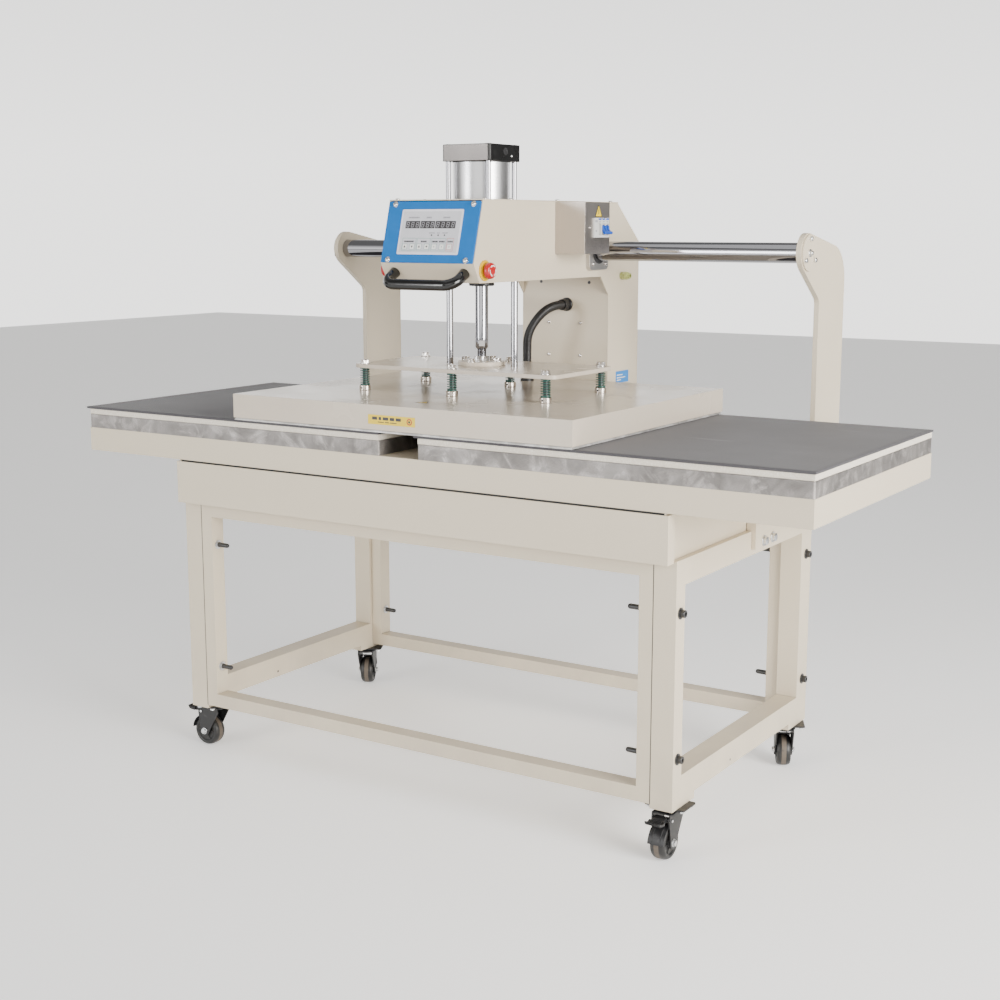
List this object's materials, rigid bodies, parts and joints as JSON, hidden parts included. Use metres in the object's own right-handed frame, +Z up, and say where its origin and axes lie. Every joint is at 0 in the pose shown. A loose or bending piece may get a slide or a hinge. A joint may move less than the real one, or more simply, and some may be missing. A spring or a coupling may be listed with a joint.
{
  "type": "heat press",
  "caption": "Shuttle heat press: a C-shaped head on a cross shaft slides between flat beds on a wheeled tube stand and a cylinder presses its heated plate down.",
  "frame": {"origin": "on the floor under the middle of the machine's bounding box", "axes": "+X along the beds to the operator's right, +Y away from the operator, +Z up"},
  "size_m": [1.915, 0.9086, 1.4696],
  "materials": {
    "cream_paint": "warm cream powder coat, fine texture",
    "bracket_paint": "warm cream powder coat",
    "head_paint": "warm cream powder coat, smooth",
    "platen_paint": "cream powder coat, a little yellowed by heat",
    "flange_paint": "cream powder coat",
    "black_steel": "black-oxide steel",
    "screw_steel": "bright nickel",
    "rail_steel": "drawn steel",
    "bearing_steel": "ground steel",
    "hard_chrome": "hard chrome",
    "stainless": "brushed stainless",
    "cast_aluminium": "cast, sanded, smeared",
    "aluminium": "machined",
    "barrel_aluminium": "satin anodised",
    "cylinder_grey": "die cast, grey",
    "foam": "silicone foam",
    "mat_grey": "grey heat-proof cloth on rubber",
    "bezel_blue": "blue enamel",
    "overlay_grey": "matt printed film",
    "black_plastic": "fine grain",
    "handle_black": "glossy black",
    "hose_black": "corrugated nylon",
    "caster_black": "moulded nylon",
    "caster_tread": "hard rubber",
    "stop_yellow": "yellow plastic",
    "stop_red": "red plastic",
    "breaker_white": "white moulded",
    "toggle_blue": "blue moulded",
    "fitting_green": "translucent",
    "spring_green": "green lacquer"
  },
  "bodies": {
    "stand": {"side_frame_left": "cream_paint", "side_frame_right": "cream_paint", "cross_frames": "cream_paint", "stand_bolts": "black_steel", "base_box": "cream_paint", "table_tray": "cream_paint", "beds": "cast_aluminium", "foam_pads": "foam", "heat_mats": "mat_grey", "brackets": "bracket_paint", "shaft_caps": "bracket_paint", "slide_shaft": "hard_chrome", "lower_guide_rail": "rail_steel", "caster_plates": "caster_black"},
    "carriage": {"side_plate_left": "head_paint", "side_plate_right": "head_paint", "head_top_cover": "head_paint", "head_belly": "head_paint", "column_covers": "head_paint", "control_bezel": "bezel_blue", "keypad_panel": "overlay_grey", "pull_handle": "handle_black", "machine_screws": "screw_steel", "estop_collars": "stop_yellow", "switch_box": "stainless", "breaker_body": "breaker_white", "linear_bearings": "bearing_steel", "guide_shoes": "black_plastic", "cylinder_heads": "cylinder_grey", "cylinder_barrel": "barrel_aluminium", "tie_rods": "screw_steel", "rod_bushes": "black_plastic", "exhaust_fitting": "fitting_green", "hose_gland_upper": "black_plastic", "hose": "hose_black"},
    "press_head": {"piston_rod": "hard_chrome", "rod_flange": "flange_paint", "flange_fasteners": "screw_steel", "guide_rods": "hard_chrome", "pressure_plate": "platen_paint", "plate_springs": "spring_green"},
    "platen": {"platen_cover": "platen_paint", "heating_plate": "aluminium", "spring_posts": "screw_steel", "hose_gland_lower": "black_plastic"},
    "estop_button_left": {"estop_button_left": "stop_red"},
    "estop_button_right": {"estop_button_right": "stop_red"},
    "breaker_toggle": {"breaker_toggle": "toggle_blue"},
    "caster_fork_front_left": {"caster_fork_front_left": "caster_black"},
    "caster_wheel_front_left": {"caster_wheel_front_left": "caster_tread"},
    "caster_pedal_front_left": {"caster_pedal_front_left": "caster_black"},
    "caster_fork_front_right": {"caster_fork_front_right": "caster_black"},
    "caster_wheel_front_right": {"caster_wheel_front_right": "caster_tread"},
    "caster_pedal_front_right": {"caster_pedal_front_right": "caster_black"},
    "caster_fork_rear_left": {"caster_fork_rear_left": "caster_black"},
    "caster_wheel_rear_left": {"caster_wheel_rear_left": "caster_tread"},
    "caster_pedal_rear_left": {"caster_pedal_rear_left": "caster_black"},
    "caster_fork_rear_right": {"caster_fork_rear_right": "caster_black"},
    "caster_wheel_rear_right": {"caster_wheel_rear_right": "caster_tread"},
    "caster_pedal_rear_right": {"caster_pedal_rear_right": "caster_black"}
  },
  "joints": [
    {"name": "carriage_slide", "type": "slide", "parent": "stand", "child": "carriage", "axis": [1, 0, 0], "range_m": [-0.485, 0.507]},
    {"name": "press_lift", "type": "slide", "parent": "carriage", "child": "press_head", "axis": [0, 0, 1], "range_m": [0, 0.1], "deforming": ["hose"]},
    {"name": "platen_float", "type": "slide", "parent": "press_head", "child": "platen", "axis": [0, 0, 1], "range_m": [0, 0.012], "stiffness_N_per_m": 60000, "springref_m": -0.004, "deforming": ["plate_springs"]},
    {"name": "estop_press_left", "type": "slide", "parent": "carriage", "child": "estop_button_left", "axis": [1, 0, 0], "range_m": [0, 0.004], "stiffness_N_per_m": 800},
    {"name": "estop_press_right", "type": "slide", "parent": "carriage", "child": "estop_button_right", "axis": [-1, 0, 0], "range_m": [0, 0.004], "stiffness_N_per_m": 800},
    {"name": "breaker_flip", "type": "hinge", "parent": "carriage", "child": "breaker_toggle", "pos_m": [0.1971, 0.11575, 1.283], "axis": [0, -1, 0], "range_deg": [0, 90]},
    {"name": "caster_swivel_front_left", "type": "hinge", "parent": "stand", "child": "caster_fork_front_left", "pos_m": [-0.6285, -0.36675, 0.101], "axis": [0, 0, 1], "continuous": true},
    {"name": "caster_roll_front_left", "type": "hinge", "parent": "caster_fork_front_left", "child": "caster_wheel_front_left", "pos_m": [-0.6525, -0.36675, 0.0375], "axis": [0, -1, 0], "continuous": true},
    {"name": "caster_brake_front_left", "type": "hinge", "parent": "caster_fork_front_left", "child": "caster_pedal_front_left", "pos_m": [-0.6615, -0.36675, 0.088], "axis": [0, -1, 0], "range_deg": [0, 10]},
    {"name": "caster_swivel_front_right", "type": "hinge", "parent": "stand", "child": "caster_fork_front_right", "pos_m": [0.6355, -0.36675, 0.101], "axis": [0, 0, 1], "continuous": true},
    {"name": "caster_roll_front_right", "type": "hinge", "parent": "caster_fork_front_right", "child": "caster_wheel_front_right", "pos_m": [0.6355, -0.39075, 0.0375], "axis": [1, 0, 0], "continuous": true},
    {"name": "caster_brake_front_right", "type": "hinge", "parent": "caster_fork_front_right", "child": "caster_pedal_front_right", "pos_m": [0.6355, -0.39975, 0.088], "axis": [1, 0, 0], "range_deg": [0, 10]},
    {"name": "caster_swivel_rear_left", "type": "hinge", "parent": "stand", "child": "caster_fork_rear_left", "pos_m": [-0.6285, 0.24825, 0.101], "axis": [0, 0, 1], "continuous": true},
    {"name": "caster_roll_rear_left", "type": "hinge", "parent": "caster_fork_rear_left", "child": "caster_wheel_rear_left", "pos_m": [-0.6394, 0.26963, 0.0375], "axis": [-0.891, -0.454, 0], "continuous": true},
    {"name": "caster_brake_rear_left", "type": "hinge", "parent": "caster_fork_rear_left", "child": "caster_pedal_rear_left", "pos_m": [-0.64348, 0.27765, 0.088], "axis": [-0.891, -0.454, 0], "range_deg": [0, 10]},
    {"name": "caster_swivel_rear_right", "type": "hinge", "parent": "stand", "child": "caster_fork_rear_right", "pos_m": [0.6355, 0.24825, 0.101], "axis": [0, 0, 1], "continuous": true},
    {"name": "caster_roll_rear_right", "type": "hinge", "parent": "caster_fork_rear_right", "child": "caster_wheel_rear_right", "pos_m": [0.6246, 0.26963, 0.0375], "axis": [-0.891, -0.454, 0], "continuous": true},
    {"name": "caster_brake_rear_right", "type": "hinge", "parent": "caster_fork_rear_right", "child": "caster_pedal_rear_right", "pos_m": [0.62052, 0.27765, 0.088], "axis": [-0.891, -0.454, 0], "range_deg": [0, 10]}
  ]
}
